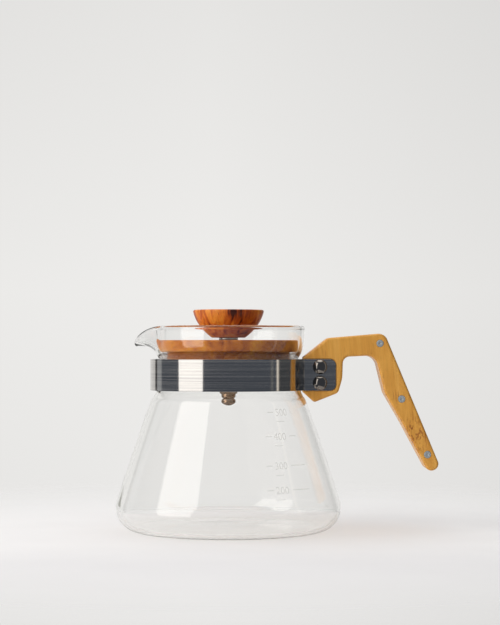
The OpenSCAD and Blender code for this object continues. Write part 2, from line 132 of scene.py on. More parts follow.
def revolve(name, profile, centre=(0, 0), segments=160, sharp=35, radius_at=None):
    """A solid of revolution round +Z. The profile is a list of (r, z) that starts and ends on the axis,
    or a closed ring. radius_at(angle, r) may shape the radius, as for a hexagon."""
    on_axis = profile[0][0] < 1e-7 and profile[-1][0] < 1e-7
    inner = profile[1:-1] if on_axis else profile
    count = len(inner)
    verts, faces = [], []
    for i in range(segments):
        angle = 2 * math.pi * i / segments
        for r, z in inner:
            reach = radius_at(angle, r) if radius_at else r
            verts.append((centre[0] + reach * math.cos(angle), centre[1] + reach * math.sin(angle), z))
    for i in range(segments):
        a, b = i * count, (i + 1) % segments * count
        for j in range(count - 1 if on_axis else count):
            k = (j + 1) % count
            faces.append((a + j, b + j, b + k, a + k))
    if on_axis:
        for end, row in ((profile[0], 0), (profile[-1], count - 1)):
            pole = len(verts)
            verts.append((centre[0], centre[1], end[1]))
            faces += [(pole, i * count + row, (i + 1) % segments * count + row) for i in range(segments)]
    return new_piece(name, verts, faces, sharp)


def loft(name, rings, capped=True, sharp=35):
    """A skin over equally long closed rings of points, with flat ends."""
    count = len(rings[0])
    verts = [p for ring in rings for p in ring]
    faces = []
    for i in range(len(rings) - 1):
        for j in range(count):
            k = (j + 1) % count
            faces.append((i * count + j, (i + 1) * count + j, (i + 1) * count + k, i * count + k))
    if capped:
        faces.append(tuple(range(count)))
        faces.append(tuple(range(len(verts) - count, len(verts))))
    return new_piece(name, verts, faces, sharp)


def applied(piece):
    """Bakes the piece's modifiers into its mesh."""
    bpy.context.view_layer.update()
    evaluated = piece.evaluated_get(bpy.context.evaluated_depsgraph_get())
    mesh = bpy.data.meshes.new_from_object(evaluated)
    piece.modifiers.clear()
    piece.data = mesh
    return piece


def cut(piece, *cutters):
    """Takes the cutters' solids out of the piece, and deletes them."""
    for cutter in cutters:
        step = piece.modifiers.new("cut", "BOOLEAN")
        step.operation = "DIFFERENCE"
        step.solver = "EXACT"
        step.object = cutter
    applied(piece)
    for cutter in cutters:
        bpy.data.objects.remove(cutter)
    return piece


def softened(piece, width, sharp=35):
    """Rounds the piece's sharp edges, and lets its large faces set the shading."""
    smooth(piece.data, sharp)
    if width:
        edge = piece.modifiers.new("edge", "BEVEL")
        edge.width = width
        edge.segments = 2
        edge.limit_method = "ANGLE"
        edge.angle_limit = math.radians(sharp)
    shade = piece.modifiers.new("shade", "WEIGHTED_NORMAL")
    shade.keep_sharp = True
    shade.weight = 60
    return applied(piece)


def rod(name, centre, r, low, high, axis="z", segments=64):
    """A plain round cutter along Y or Z, from low to high."""
    profile = [(0, low), (r, low), (r, high), (0, high)]
    if axis == "z":
        return revolve(name, profile, centre, segments)
    piece = revolve(name, profile, (0, 0), segments)
    for v in piece.data.vertices:
        x, y, z = v.co
        v.co = (centre[0] + x, z, centre[1] - y)
    return piece


def finish_piece(piece, nodes, body, material):
    """Gives a piece its material, the nodes that it stands for and the body that it rides on."""
    piece.data.materials.clear()
    piece.data.materials.append(material)
    if nodes:
        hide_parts(*nodes)
    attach(piece, body)
    return piece


# Node materials
class Nodes:
    """A node tree, with short ways to add and join nodes."""

    def __init__(self, tree):
        self.tree = tree
        tree.nodes.clear()

    def add(self, kind, **settings):
        """A new node with its settings, such as its operation."""
        node = self.tree.nodes.new(kind)
        for key, value in settings.items():
            setattr(node, key, value)
        return node

    def fill(self, socket, value):
        """Links another node's socket to this one, or sets it to a value."""
        if isinstance(value, bpy.types.NodeSocket):
            self.tree.links.new(value, socket)
        else:
            socket.default_value = value

    def put(self, node, **values):
        """Fills inputs by name, with spaces as underscores."""
        for key, value in values.items():
            self.fill(node.inputs[key.replace("_", " ")], value)
        return node

    def coords(self):
        """Object coordinates in metres."""
        return self.add("ShaderNodeTexCoord").outputs["Object"]

    def place(self, scale, turn=(0, 0, 0)):
        """Object coordinates, turned, then scaled along the turned axes."""
        spun = self.add("ShaderNodeVectorRotate", rotation_type="EULER_XYZ", invert=True)
        self.put(spun, Vector=self.coords(), Rotation=turn)
        return self.vector("MULTIPLY", spun.outputs["Vector"], scale)

    def vector(self, operation, a, b=None):
        """A vector worked out from others, or the number that a length, distance or dot product gives."""
        node = self.add("ShaderNodeVectorMath", operation=operation)
        self.fill(node.inputs[0], a)
        if b is not None:
            self.fill(node.inputs[1], b)
        return node.outputs["Value" if operation in ("LENGTH", "DISTANCE", "DOT_PRODUCT") else "Vector"]

    def noise(self, vector, scale, detail=2.0, roughness=0.5, distortion=0.0):
        node = self.add("ShaderNodeTexNoise")
        self.put(node, Vector=vector, Scale=scale, Detail=detail, Roughness=roughness, Distortion=distortion)
        return node.outputs["Fac"]

    def ramp(self, factor, stops):
        """A tone by the factor. The stops are (factor, tone), in order."""
        node = self.add("ShaderNodeValToRGB")
        elements = node.color_ramp.elements
        while len(elements) < len(stops):
            elements.new(0.5)
        for element, (at, tone) in zip(elements, stops):
            element.position = at
            element.color = (*tone, 1)
        self.fill(node.inputs["Fac"], factor)
        return node.outputs["Color"]

    def range(self, factor, source, to=(0, 1), interpolation="LINEAR"):
        """The factor's place in a source range, carried over to another range and kept inside it."""
        node = self.add("ShaderNodeMapRange", interpolation_type=interpolation)
        self.put(node, Value=factor, From_Min=source[0], From_Max=source[1], To_Min=to[0], To_Max=to[1])
        return node.outputs["Result"]

    def sum(self, operation, a, b):
        """A number worked out from two others."""
        node = self.add("ShaderNodeMath", operation=operation)
        for socket, value in zip(node.inputs, (a, b)):
            self.fill(socket, value)
        return node.outputs["Value"]

    def blend(self, kind, factor, a, b):
        """Colour a with colour b laid over it, by a blend kind such as MIX or MULTIPLY."""
        node = self.add("ShaderNodeMix", data_type="RGBA", blend_type=kind)
        for socket, value in zip((node.inputs[0], node.inputs[6], node.inputs[7]), (factor, a, b)):
            self.fill(socket, value)
        return node.outputs[2]

    def bump(self, height, strength, distance):
        node = self.add("ShaderNodeBump")
        self.put(node, Height=height, Strength=strength, Distance=distance)
        return node.outputs["Normal"]

    def shader(self, kind, **values):
        """A shader node with its inputs filled, as a socket."""
        return self.put(self.add(kind), **values).outputs[0]


class Shader(Nodes):
    """A new node material."""

    def __init__(self, name):
        self.material = bpy.data.materials.new(name)
        self.material.use_nodes = True
        super().__init__(self.material.node_tree)
        self.out = self.add("ShaderNodeOutputMaterial")

    def surface(self, **values):
        self.put(self.out, Surface=self.shader("ShaderNodeBsdfPrincipled", **values))
        return self.material

    def mixed(self, share, first, second):
        """A surface of two shaders, with the share of the second."""
        joined = self.add("ShaderNodeMixShader")
        for socket, value in zip(joined.inputs, (share, first, second)):
            self.fill(socket, value)
        self.put(self.out, Surface=joined.outputs["Shader"])
        return self.material


def colour(r, g, b):
    """An sRGB colour of 0 to 255 as the linear colour that the nodes take."""
    parts = [v / 255 for v in (r, g, b)]
    return tuple(v / 12.92 if v <= 0.04045 else ((v + 0.055) / 1.055) ** 2.4 for v in parts)


def wood(name, tones, turn, offset, streak=1.0, fleck=0.35, gloss=0.42, coat=0.12, fibre=0.42, knot=None):
    """Oiled wood whose grain runs along the turned Z axis: growth bands, fibres, pores and flecks.
    tones run from the pale early wood to the dark late wood. A knot is a place with small dark streaks."""
    s = Shader(name)
    late_wood = (*tones[3], 1)
    broad = s.vector("ADD", s.place((1, 1, 0.10), turn), offset)
    bands = s.noise(broad, scale=210, detail=2.5, roughness=0.6, distortion=0.8)
    bends = s.noise(broad, scale=55)
    rings = s.sum("ADD", s.sum("MULTIPLY", bands, 0.62), s.sum("MULTIPLY", bends, 0.38))
    spread = 0.17 / streak
    base = s.ramp(
        s.range(rings, (0.5 - spread, 0.5 + spread)),
        [(0.0, tones[0]), (0.42, tones[1]), (0.74, tones[2]), (1.0, tones[3])],
    )
    fibres = s.noise(s.place((1, 1, 0.035), turn), scale=2400, detail=3, roughness=0.65)
    fibre_tone = s.ramp(fibres, [(0.28, (0.55, 0.5, 0.45)), (0.62, (1, 1, 1))])
    base = s.blend("MULTIPLY", fibre, base, fibre_tone)
    pores = s.noise(s.place((1, 1, 0.07), turn), scale=1500, detail=1, roughness=0.4)
    pore_mask = s.range(pores, (0.26, 0.34), to=(1, 0))
    base = s.blend("MULTIPLY", s.sum("MULTIPLY", pore_mask, 0.5), base, late_wood)
    flecks = s.noise(s.place((1, 1, 0.2), turn), scale=430)
    base = s.blend("MIX", s.range(flecks, (0.66, 0.76), to=(0, fleck)), base, late_wood)
    if knot:
        streaks = s.noise(s.place((1, 1, 0.3), turn), scale=1050, roughness=0.6)
        streak_mask = s.range(streaks, (0.52, 0.6), to=(0, 0.9))
        away = s.vector("DISTANCE", s.coords(), knot)
        nearness = s.range(away, (4 * mm, 12 * mm), to=(1, 0))
        base = s.blend("MIX", s.sum("MULTIPLY", streak_mask, nearness), base, late_wood)
    height = s.sum("SUBTRACT", fibres, s.sum("MULTIPLY", pore_mask, 0.9))
    return s.surface(
        Base_Color=base,
        Roughness=s.range(fibres, (0.3, 0.7), to=(0.36, 0.52)),
        Normal=s.bump(height, strength=0.22, distance=0.06 * mm),
        Specular_IOR_Level=gloss,
        Coat_Weight=coat,
        Coat_Roughness=0.3,
    )


def brushed_steel(name):
    """Sheet brushed level round the band: long fine lines that carry tone, roughness and bump."""
    s = Shader(name)
    fine = s.noise(s.place((14, 14, 5200)), scale=1, roughness=0.6)
    wide = s.noise(s.place((6, 6, 1350)), scale=1, roughness=0.6)
    lines = s.sum("ADD", s.sum("MULTIPLY", fine, 0.5), s.sum("MULTIPLY", wide, 0.5))
    line_tones = [(0.36, colour(152, 151, 151)), (0.5, colour(173, 171, 168)), (0.64, colour(190, 187, 183))]
    smear = s.noise(s.place((60, 60, 60)), scale=1, detail=3, roughness=0.6)
    smear_tone = s.ramp(smear, [(0.35, (0.75, 0.76, 0.8)), (0.65, (1, 1, 1))])
    return s.surface(
        Base_Color=s.blend("MULTIPLY", 0.1, s.ramp(lines, line_tones), smear_tone),
        Metallic=s.range(lines, (0.47, 0.66), to=(1.0, 0.82)),
        Roughness=s.range(lines, (0.35, 0.65), to=(0.05, 0.11)),
        Normal=s.bump(lines, strength=0.12, distance=0.01 * mm),
    )


def polished_steel(name, tone, roughness):
    """Turned and polished steel, with hairlines and small smudges."""
    s = Shader(name)
    scratches = s.noise(s.coords(), scale=5200, roughness=0.7)
    smudge = s.noise(s.coords(), scale=700, detail=3, roughness=0.6)
    dulled = [v * 0.75 for v in tone]
    smudge_share = s.range(smudge, (0.4, 0.7), to=(0, 0.22))
    return s.surface(
        Base_Color=s.blend("MIX", smudge_share, (*tone, 1), (*dulled, 1)),
        Metallic=1.0,
        Roughness=s.range(smudge, (0.3, 0.7), to=(roughness, roughness + 0.1)),
        Normal=s.bump(scratches, strength=0.06, distance=0.01 * mm),
    )


def satin_aluminium(name):
    """Cut aluminium pin, with a fine sawn grain."""
    s = Shader(name)
    grain = s.noise(s.place((900, 900, 5200)), scale=1, roughness=0.7)
    stain = s.noise(s.coords(), scale=1200)
    tone = s.ramp(grain, [(0.3, colour(160, 166, 170)), (0.7, colour(180, 186, 189))])
    stain_tone = s.ramp(stain, [(0.35, (0.6, 0.6, 0.62)), (0.6, (1, 1, 1))])
    return s.surface(
        Base_Color=s.blend("MULTIPLY", 0.15, tone, stain_tone),
        Metallic=0.4,
        Roughness=s.range(stain, (0.3, 0.7), to=(0.5, 0.65)),
        Normal=s.bump(grain, strength=0.15, distance=0.02 * mm),
    )


def lamp_clear(s, shader, tint):
    """A surface that lets lamps, and light that bounces about the room, light what is behind it."""
    path = s.add("ShaderNodeLightPath")
    passes = s.sum("MAXIMUM", path.outputs["Is Shadow Ray"], path.outputs["Is Diffuse Ray"])
    return s.mixed(passes, shader, s.shader("ShaderNodeBsdfTransparent", Color=(*tint, 1)))


def clear_glass(name):
    """Blown heat-proof glass: faint waves in its surface and a slight olive tint in its thickness."""
    s = Shader(name)
    waves = s.noise(s.place((1, 1, 1.6)), scale=26, roughness=0.4)
    normal = s.bump(waves, strength=0.25, distance=0.12 * mm)
    skin = s.shader("ShaderNodeBsdfGlass", Color=(1, 1, 1, 1), Roughness=0.0, IOR=1.47, Normal=normal)
    tint = s.shader("ShaderNodeVolumeAbsorption", Color=(0.87, 0.875, 0.79, 1), Density=24)
    s.put(s.out, Volume=tint)
    return lamp_clear(s, skin, (1, 1, 1))


def silicone(name):
    """Soft milky sleeve with a moulded satin skin."""
    s = Shader(name)
    skin = s.noise(s.coords(), scale=900)
    body = s.shader(
        "ShaderNodeBsdfPrincipled",
        Base_Color=(*colour(236, 237, 236), 1),
        Roughness=s.range(skin, (0.3, 0.7), to=(0.22, 0.34)),
        IOR=1.41,
        Transmission_Weight=0.5,
        Normal=s.bump(skin, strength=0.06, distance=0.02 * mm),
    )
    return lamp_clear(s, body, (0.9, 0.9, 0.9))


def print_ink(name):
    """Fired pale ink of the graduations, thin enough to let light through, with an uneven edge."""
    s = Shader(name)
    patchy = s.noise(s.coords(), scale=2600, roughness=0.6)
    ink_shader = s.shader(
        "ShaderNodeBsdfPrincipled",
        Base_Color=s.ramp(patchy, [(0.35, colour(206, 200, 184)), (0.65, colour(222, 217, 202))]),
        Roughness=0.55,
        Normal=s.bump(patchy, strength=0.2, distance=0.01 * mm),
    )
    cover = s.range(patchy, (0.3, 0.7), to=(0.16, 0.36))
    return s.mixed(cover, s.shader("ShaderNodeBsdfTransparent"), ink_shader)


HANDLE_TONES = [colour(229, 173, 85), colour(221, 161, 69), colour(207, 143, 53), colour(150, 84, 26)]
DISC_TONES = [colour(206, 138, 34), colour(182, 104, 22), colour(142, 70, 14), colour(78, 34, 9)]
KNOB_TONES = [colour(230, 152, 56), colour(212, 118, 38), colour(172, 76, 26), colour(68, 24, 15)]
handle_grain = (0, math.radians(-5), 0)
disc_grain = (math.radians(90), 0, math.radians(20))
knob_grain = (0, 0, 0)
front_knot = (95.2 * mm, -12.0 * mm, 50.5 * mm)
handle_look = {"streak": 0.72, "fibre": 0.3}
handle_wood_front = wood(
    "handle_wood_front", HANDLE_TONES, handle_grain, (0.03, 0.01, 0.02), knot=front_knot, **handle_look
)
handle_wood_rear = wood("handle_wood_rear", HANDLE_TONES, handle_grain, (0.09, 0.04, 0.05), **handle_look)
disc_wood = wood("disc_wood", DISC_TONES, disc_grain, (0.01, 0.02, 0.05), streak=0.8, gloss=0.06, coat=0.0)
knob_wood = wood(
    "knob_wood", KNOB_TONES, knob_grain, (0.05, 0.03, 0.0), streak=1.35, fleck=0.5, gloss=0.26, coat=0.04
)
band_steel = brushed_steel("band_steel")
bright_steel = polished_steel("bright_steel", (0.62, 0.61, 0.59), 0.07)
# Painted shade: the screw and sleeve heads, the spacer and the washer are polished steel given a dark tone,
# which stands in for the dark room that they mirror.
shade_darkened_steel = polished_steel("shade_darkened_steel", (0.23, 0.21, 0.19), 0.02)
# Painted reflection and shade: the cap nut's dark brown tone stands in for the wood and the dark room that it
# mirrors.
nut_steel_painted_reflection = polished_steel("nut_steel_painted_reflection", (0.20, 0.135, 0.09), 0.05)
rivet_metal = satin_aluminium("rivet_metal")
glass = clear_glass("glass")
liner_silicone = silicone("liner_silicone")
ink = print_ink("graduation_ink")

# Glass body: the solid's middle line, woven finer and in one piece with its lip. The rim is 1 mm narrower
# and more upright than in the solid, and the crease of the shoulder is crisper.
glass_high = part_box("glass_body")[1]
wall = 2.0 * mm
half_wall = wall / 2
bead_r = 1.2 * mm
body_r = glass_high.y
rim_z = glass_high.z
rim_r = 41.0 * mm
heel_r = 12.8 * mm
foot_w = 4.0 * mm
base_rise = 1.0 * mm
side_angle = 17
side_bow = 0.35 * mm
side_head = Vector((42.1 * mm - half_wall, 64.8 * mm))
head_pull = 3.6 * mm
crease = Vector((38.75 * mm, 69.9 * mm))
crease_dir = unit(130)
crease_pull = 1.5 * mm
neck_foot = Vector((37.6 * mm - half_wall, 75.0 * mm))
neck_pull = 2.4 * mm
neck_share, neck_rise = 0.48, 0.72
waist = Vector((35.0 * mm - half_wall, 87.5 * mm))
waist_share, seat_share = 0.34, 0.42
solid_seat_dir = unit(62)
seat_mid = Vector((38.5 * mm, 93.8 * mm)) - half_wall * side_of(solid_seat_dir)
seat_dir = unit(68)
seat_pull = 2.5 * mm
rim_pull = 7.2 * mm
rim_mid_r = 39.0 * mm
lip_level = 8.2 * mm
lip_drop = 8.3 * mm
lip_reach = 8.2 * mm
lip_tip_r = rim_r - half_wall + lip_reach
lip_nose_angle = 27
lip_dip_angle = 33
bead_z = rim_z - bead_r


def lower_line():
    """The wall's middle line, from the axis out over the foot and the heel and up to the lid's seat."""
    heel_centre = Vector((body_r - heel_r, heel_r))
    foot_inner = Vector((heel_centre.x - foot_w, half_wall))
    halfway = foot_inner.x / 2
    base = Vector((0, base_rise + half_wall))
    line = bezier(base, Vector((halfway, base.y)), Vector((halfway, half_wall)), foot_inner, 14)
    line += arc(heel_centre, heel_r - half_wall, -90, side_angle, 30)
    foot = heel_centre + (heel_r - half_wall) * unit(side_angle)
    run = side_head - foot
    lift = side_of(run) * side_bow * 4 / 3
    line += bezier(foot, foot + run / 3 + lift, side_head - run / 3 + lift, side_head, 14)[1:]
    head_from = side_head + (run / 3 - lift).normalized() * head_pull
    line += bezier(side_head, head_from, crease - crease_dir * crease_pull, crease, 10)[1:]
    neck_to = neck_foot - (waist - neck_foot).normalized() * neck_pull
    line += bezier(crease, crease + crease_dir * crease_pull, neck_to, neck_foot, 8)[1:]
    waist_to = Vector((waist.x, mix(neck_foot.y, waist.y, neck_rise)))
    line += bezier(neck_foot, mix(neck_foot, waist, neck_share), waist_to, waist, 12)[1:]
    rise = (seat_mid - waist).length
    waist_from = waist + Vector((0, rise * waist_share))
    line += bezier(waist, waist_from, seat_mid - seat_dir * rise * seat_share, seat_mid, 10)[1:]
    return line


def bead_r_at(angle):
    """Radius of the bead's middle, at an angle from the lip's middle."""
    if abs(angle) >= lip_nose_angle:
        return rim_mid_r
    return rim_mid_r + (lip_tip_r - rim_mid_r) * (1 - (angle / lip_nose_angle) ** 2) ** 2


def dip_share(angle):
    """How far the rim has dipped and turned level into the lip, from 0 to 1."""
    if abs(angle) >= lip_dip_angle:
        return 0
    start = rim_mid_r * math.cos(math.radians(lip_dip_angle))
    u = (bead_r_at(angle) * math.cos(math.radians(angle)) - start) / (lip_tip_r - start)
    return 1 - (1 - min(max(u, 0), 1) ** 2) ** 0.6


def rim_line(angle):
    """The wall's middle line from the lid's seat up to the bead, at an angle from the lip's middle."""
    dip = dip_share(angle)
    top = Vector((bead_r_at(angle), bead_z - lip_drop * dip))
    top_from = top - unit(90 * (1 - dip)) * mix(rim_pull, lip_level, dip)
    return bezier(seat_mid, seat_mid + seat_dir * seat_pull, top_from, top, 20)[1:]


def glass_outline(line):
    """The wall's two sides along its middle line, joined by the bead at its end."""
    end, across = line[-1]
    along = Vector((-across.y, across.x))
    tuck = math.degrees(math.acos(half_wall / bead_r))
    turns = [-tuck + (180 + 2 * tuck) * i / 12 for i in range(13)]
    bead = [end + bead_r * (unit(a).x * across + unit(a).y * along) for a in turns]
    return points_at(line[:-1], half_wall) + bead + points_at(line[:-1], -half_wall)[::-1]


def lip_angles():
    """Angles from the lip's middle: every degree over the lip, and every 2.5 degrees past it."""
    lip_end = 40
    return list(range(-lip_end, lip_end + 1)) + [lip_end + 2.5 * i for i in range(1, 112)]


def make_glass():
    """The wall's outline carried round the axis, with its rim drawn anew at each angle."""
    foundation = lower_line()
    verts, faces = [], []
    angles = lip_angles()
    for angle in angles:
        from_lip = (angle + 180) % 360 - 180
        outline = glass_outline(foundation + rim_line(from_lip))
        turn = unit(180 + angle)
        verts += [(p.x * turn.x, p.x * turn.y, p.y) for p in outline[1:-1]]
    count = len(outline) - 2
    for i in range(len(angles)):
        a, b = i * count, (i + 1) % len(angles) * count
        faces += [(a + j, b + j, b + j + 1, a + j + 1) for j in range(count - 1)]
    for end, row in ((outline[0], 0), (outline[-1], count - 1)):
        pole = len(verts)
        verts.append((0, 0, end.y))
        ring = [i * count + row for i in range(len(angles))]
        faces += [(pole, ring[i], ring[(i + 1) % len(ring)]) for i in range(len(ring))]
    piece = new_piece("glass_server", verts, faces, 60)
    return finish_piece(piece, ["glass_body"], "carafe", glass)


def outer_radius(z):
    """Radius of the glass's outside at a height."""
    skin = points_at(lower_line(), half_wall)
    for a, b in zip(skin, skin[1:]):
        if a.y <= z < b.y:
            return mix(a.x, b.x, (z - a.y) / (b.y - a.y))
    raise ValueError(z)


# Neck band: one strip lofted along its path, from the front tab's end round to the rear one's
band_low, band_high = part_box("neck_band")
band_t = 0.8 * mm
band_r = band_high.y
band_edge_r = 0.12 * mm
tab_y = 12.2 * mm
tab_end_x = band_high.x
tab_corner_r = 3.0 * mm
bend_r = 1.0 * mm
TAB_CORNER_STEPS = [v * mm for v in (0, 0.1, 0.3, 0.6, 1.0, 1.4, 1.9, 2.4, 3.0)]
TAB_SHARES = [v / 6 for v in (2.4, 3.5, 4.7, 6)]


def band_path():
    """Points of the sheet's middle with their outward normals, and their distance from the nearest end."""
    bend_y = tab_y + bend_r
    bend_x = math.sqrt((band_r + bend_r) ** 2 - bend_y**2)
    bend_angle = math.degrees(math.atan2(bend_y, bend_x))
    mid = band_t / 2
    length = tab_end_x - bend_x
    tab = [(Vector((tab_end_x - s, tab_y - mid)), Vector((0, 1)), s) for s in TAB_CORNER_STEPS]
    tab += [(Vector((tab_end_x - length * v, tab_y - mid)), Vector((0, 1)), length) for v in TAB_SHARES]
    centre = Vector((bend_x, bend_y))
    bend_turns = [270 - (90 - bend_angle) * k / 8 for k in range(1, 9)]
    bend = [(centre + (bend_r + mid) * unit(a), -unit(a), length) for a in bend_turns]
    ring_turns = [bend_angle + (180 - bend_angle) * k / 84 for k in range(1, 85)]
    ring = [((band_r - mid) * unit(a), unit(a), length) for a in ring_turns]
    half = tab + bend + ring
    mirrored = [(Vector((p.x, -p.y)), Vector((n.x, -n.y)), s) for p, n, s in half[:-1]]
    return half + mirrored[::-1]


def make_band():
    """The strip's section carried along its path, and lowered over the tabs' round corners."""
    low, high = band_low.z, band_high.z
    rings = []
    for point, normal, end in band_path():
        short = tab_corner_r - end
        inset = tab_corner_r - math.sqrt(tab_corner_r**2 - short**2) if short > 0 else 0
        section = rounded(
            [
                Vector((-band_t / 2, low + inset)),
                Vector((band_t / 2, low + inset)),
                Vector((band_t / 2, high - inset)),
                Vector((-band_t / 2, high - inset)),
            ],
            [band_edge_r] * 4,
            30,
        )
        rings.append([(point.x + normal.x * p.x, point.y + normal.y * p.x, p.y) for p in section])
    piece = softened(loft("steel_neck_band", rings, sharp=50), 0, 50)
    return finish_piece(piece, ["neck_band"], "carafe", band_steel)


def make_liner():
    """A sleeve whose inside follows the glass's waist."""
    low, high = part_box("neck_liner")
    edge = 0.5 * mm
    gap = 0.05 * mm
    heights = [low.z + (high.z - low.z) * k / 24 for k in range(25)]
    inner = [(outer_radius(z) + gap, z) for z in heights]
    r = high.y
    outer = [(r - edge, high.z), (r, high.z - edge), (r, low.z + edge), (r - edge, low.z)]
    piece = softened(revolve("neck_sleeve", inner + outer, segments=160), 0)
    return finish_piece(piece, ["neck_liner"], "carafe", liner_silicone)


# Handle halves. Each corner is a share of the way from root to tip and from foot to top.
band_inner_r = band_r - band_t
handle_t = -2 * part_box("handle_half_front")[0].y
grip_x = 108.4 * mm
handle_top_z = 103.9 * mm
handle_tip_z = 32.0 * mm
handle_edge_r = 1.3 * mm
pocket_depth = 0.6 * mm
pocket_gap = 0.4 * mm
root_gap = 0.3 * mm
glass_gap = 0.6 * mm
rivet_bore_r = 1.95 * mm
sleeve_bore_r = 2.8 * mm
root_x = band_inner_r - 3 * band_t
CORNER_SHARES = [
    (0.095, 0.498), (0.272, 0.567), (0.303, 0.67), (0.309, 0.827), (0.547, 0.838), (0.615, 0.566),
    (0.74, 0.355), (0.939, -0.01), (1.026, 0.031), (0.616, 1), (0.196, 0.965),
]
CORNER_RADII = [v * mm for v in (1.8, 1.8, 1.8, 3, 14, -3.6, -6, 7, -140, 3.4, 3.4, 5, 4)]
rivet_nodes = ["rivet_corner", "rivet_middle", "rivet_tip"]
screw_nodes = ["handle_screw_upper", "handle_screw_lower"]
nut_nodes = ["handle_nut_upper", "handle_nut_lower"]


def middle_of(node):
    """The middle of a node's box."""
    low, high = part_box(node)
    return (low + high) / 2


def handle_corners():
    """The handle's corners as (x, z), before they are rounded: two at the root, then round the grip."""
    root = [Vector((root_x, band_high.z + band_t / 4)), Vector((root_x, band_low.z - band_t / 4))]
    grip = [
        Vector((mix(root_x, grip_x, x), mix(handle_tip_z, handle_top_z, z)))
        for x, z in CORNER_SHARES
    ]
    return root + grip


def make_handle_half(name, node, side, material):
    """One half of the handle. side is -1 for the front and 1 for the rear."""
    corners = handle_corners()
    seam = 0.12 * mm
    skin_in = 0.03 * mm
    eased = 0.12 * mm
    levels = [(0, seam), (seam, 0)]
    for k in range(8):
        a = math.radians(90 * k / 7)
        levels.append((handle_t / 2 - handle_edge_r * (1 - math.sin(a)), handle_edge_r * (1 - math.cos(a))))
    rings = []
    for y, inset in levels:
        outline = rounded(corners, CORNER_RADII, step=5, inset=inset + skin_in, fewest=3)
        rings.append([(p.x, side * y, p.y) for p in outline])
    piece = loft(name, rings, sharp=60)
    r = tab_corner_r + pocket_gap
    low_z, high_z = band_low.z - pocket_gap, band_high.z + pocket_gap
    end_x = tab_end_x + pocket_gap
    pocket_corners = [Vector(c) for c in ((0, low_z), (end_x, low_z), (end_x, high_z), (0, high_z))]
    pocket = rounded(pocket_corners, [0, r, r, 0])
    floor_y = handle_t / 2 - pocket_depth
    pocket_cut = loft("pocket", [[(p.x, side * y, p.y) for p in pocket] for y in (floor_y, handle_t)])
    root_cut = rod("root", (0, 0), band_inner_r + root_gap, 0, rim_z + 10 * mm, segments=160)
    skin = points_at(lower_line() + rim_line(180), half_wall + glass_gap)
    clear_cut = revolve("clear", [(0, skin[0].y), *[(p.x, p.y) for p in skin[1:]], (0, skin[-1].y)])
    bores = []
    for pin in rivet_nodes + screw_nodes:
        at = middle_of(pin)
        r = rivet_bore_r if pin in rivet_nodes else sleeve_bore_r
        bores.append(rod("bore", (at.x, at.z), r, -handle_t, handle_t, "y", 48))
    cut(piece, root_cut, clear_cut, pocket_cut, *bores)
    softened(piece, eased, 40)
    return finish_piece(piece, [node], "carafe", material)


# A rivet's end in mm: its dimple by radius and depth, and its edge by how far in and how deep
RIVET_DIMPLE = [(0, 0.3), (0.3, 0.24), (0.6, 0.05), (0.75, 0)]
RIVET_EDGE = [(0.28, 0), (0.08, 0.07), (0, 0.28)]


def make_rivet(node):
    """A pin through both halves, with eased ends and a small dimple in each."""
    low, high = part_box(node)
    at = middle_of(node)
    r = (high.x - low.x) / 2
    end = (high.y - low.y) / 2
    face = [(out * mm, end - deep * mm) for out, deep in RIVET_DIMPLE]
    face += [(r - back * mm, end - deep * mm) for back, deep in RIVET_EDGE]
    profile = face + [(x, -z) for x, z in face[::-1]]
    piece = revolve(node + "_pin", profile, segments=48, sharp=40)
    for v in piece.data.vertices:
        x, y, z = v.co
        v.co = (at.x + x, at.y + z, at.z - y)
    return finish_piece(piece, [node], "carafe", rivet_metal)


# Screw and nut heads
head_h = 2.2 * mm
head_rim = 0.4 * mm
head_ease = 0.1 * mm
screw_r = 2.0 * mm
sleeve_r = 2.75 * mm
shank_ease = 0.2 * mm
slot_ease = 0.07 * mm
slot_half_w = 0.5 * mm
slot_depth = 0.95 * mm
slot_angle = 40


def make_head(node, side):
    """A domed slotted head with its screw or sleeve behind it. side is -1 at the front, 1 at the rear."""
    low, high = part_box(node)
    at = middle_of(node)
    head_r = (high.x - low.x) / 2
    top = high.y - low.y
    seat = top - head_h
    shank_r = screw_r if side < 0 else sleeve_r
    dome_h = head_h - head_rim
    ball_r = (head_r**2 + dome_h**2) / (2 * dome_h)
    profile = [(0, 0), (shank_r - shank_ease, 0), (shank_r, shank_ease), (shank_r, seat)]
    profile += [(head_r - head_ease, seat), (head_r, seat + head_ease)]
    profile.append((head_r, seat + head_rim - head_ease / 2))
    start = math.asin(head_r / ball_r)
    for k in range(1, 15):
        a = start * (1 - k / 15)
        profile.append((ball_r * math.sin(a), top - ball_r + ball_r * math.cos(a)))
    profile.append((0, top))
    piece = revolve(node + "_head", profile, segments=72, sharp=40)
    end = head_r * 1.2
    corners = [(-end, -slot_half_w), (end, -slot_half_w), (end, slot_half_w), (-end, slot_half_w)]
    turned = [x * unit(slot_angle) + y * unit(slot_angle + 90) for x, y in corners]
    cut(piece, loft("slot", [[(p.x, p.y, z) for p in turned] for z in (top - slot_depth, top + head_h)]))
    softened(piece, slot_ease, 32)
    outer = low.y if side < 0 else high.y
    for v in piece.data.vertices:
        x, y, z = v.co
        v.co = (at.x - side * x, outer + side * (z - top), at.z + y)
    face_outward(piece.data)
    # The head's steel is darkened as painted shade.
    return finish_piece(piece, [node], "carafe", shade_darkened_steel)


# Lid
def rounded_profile(corners, radii):
    """A profile of (r, z) that starts and ends on the axis, with rounded corners between."""
    points = [Vector(c) for c in corners]
    outline = rounded(points, [0, *radii, 0], 9)
    return [(max(p.x, 0), p.y) for p in outline]


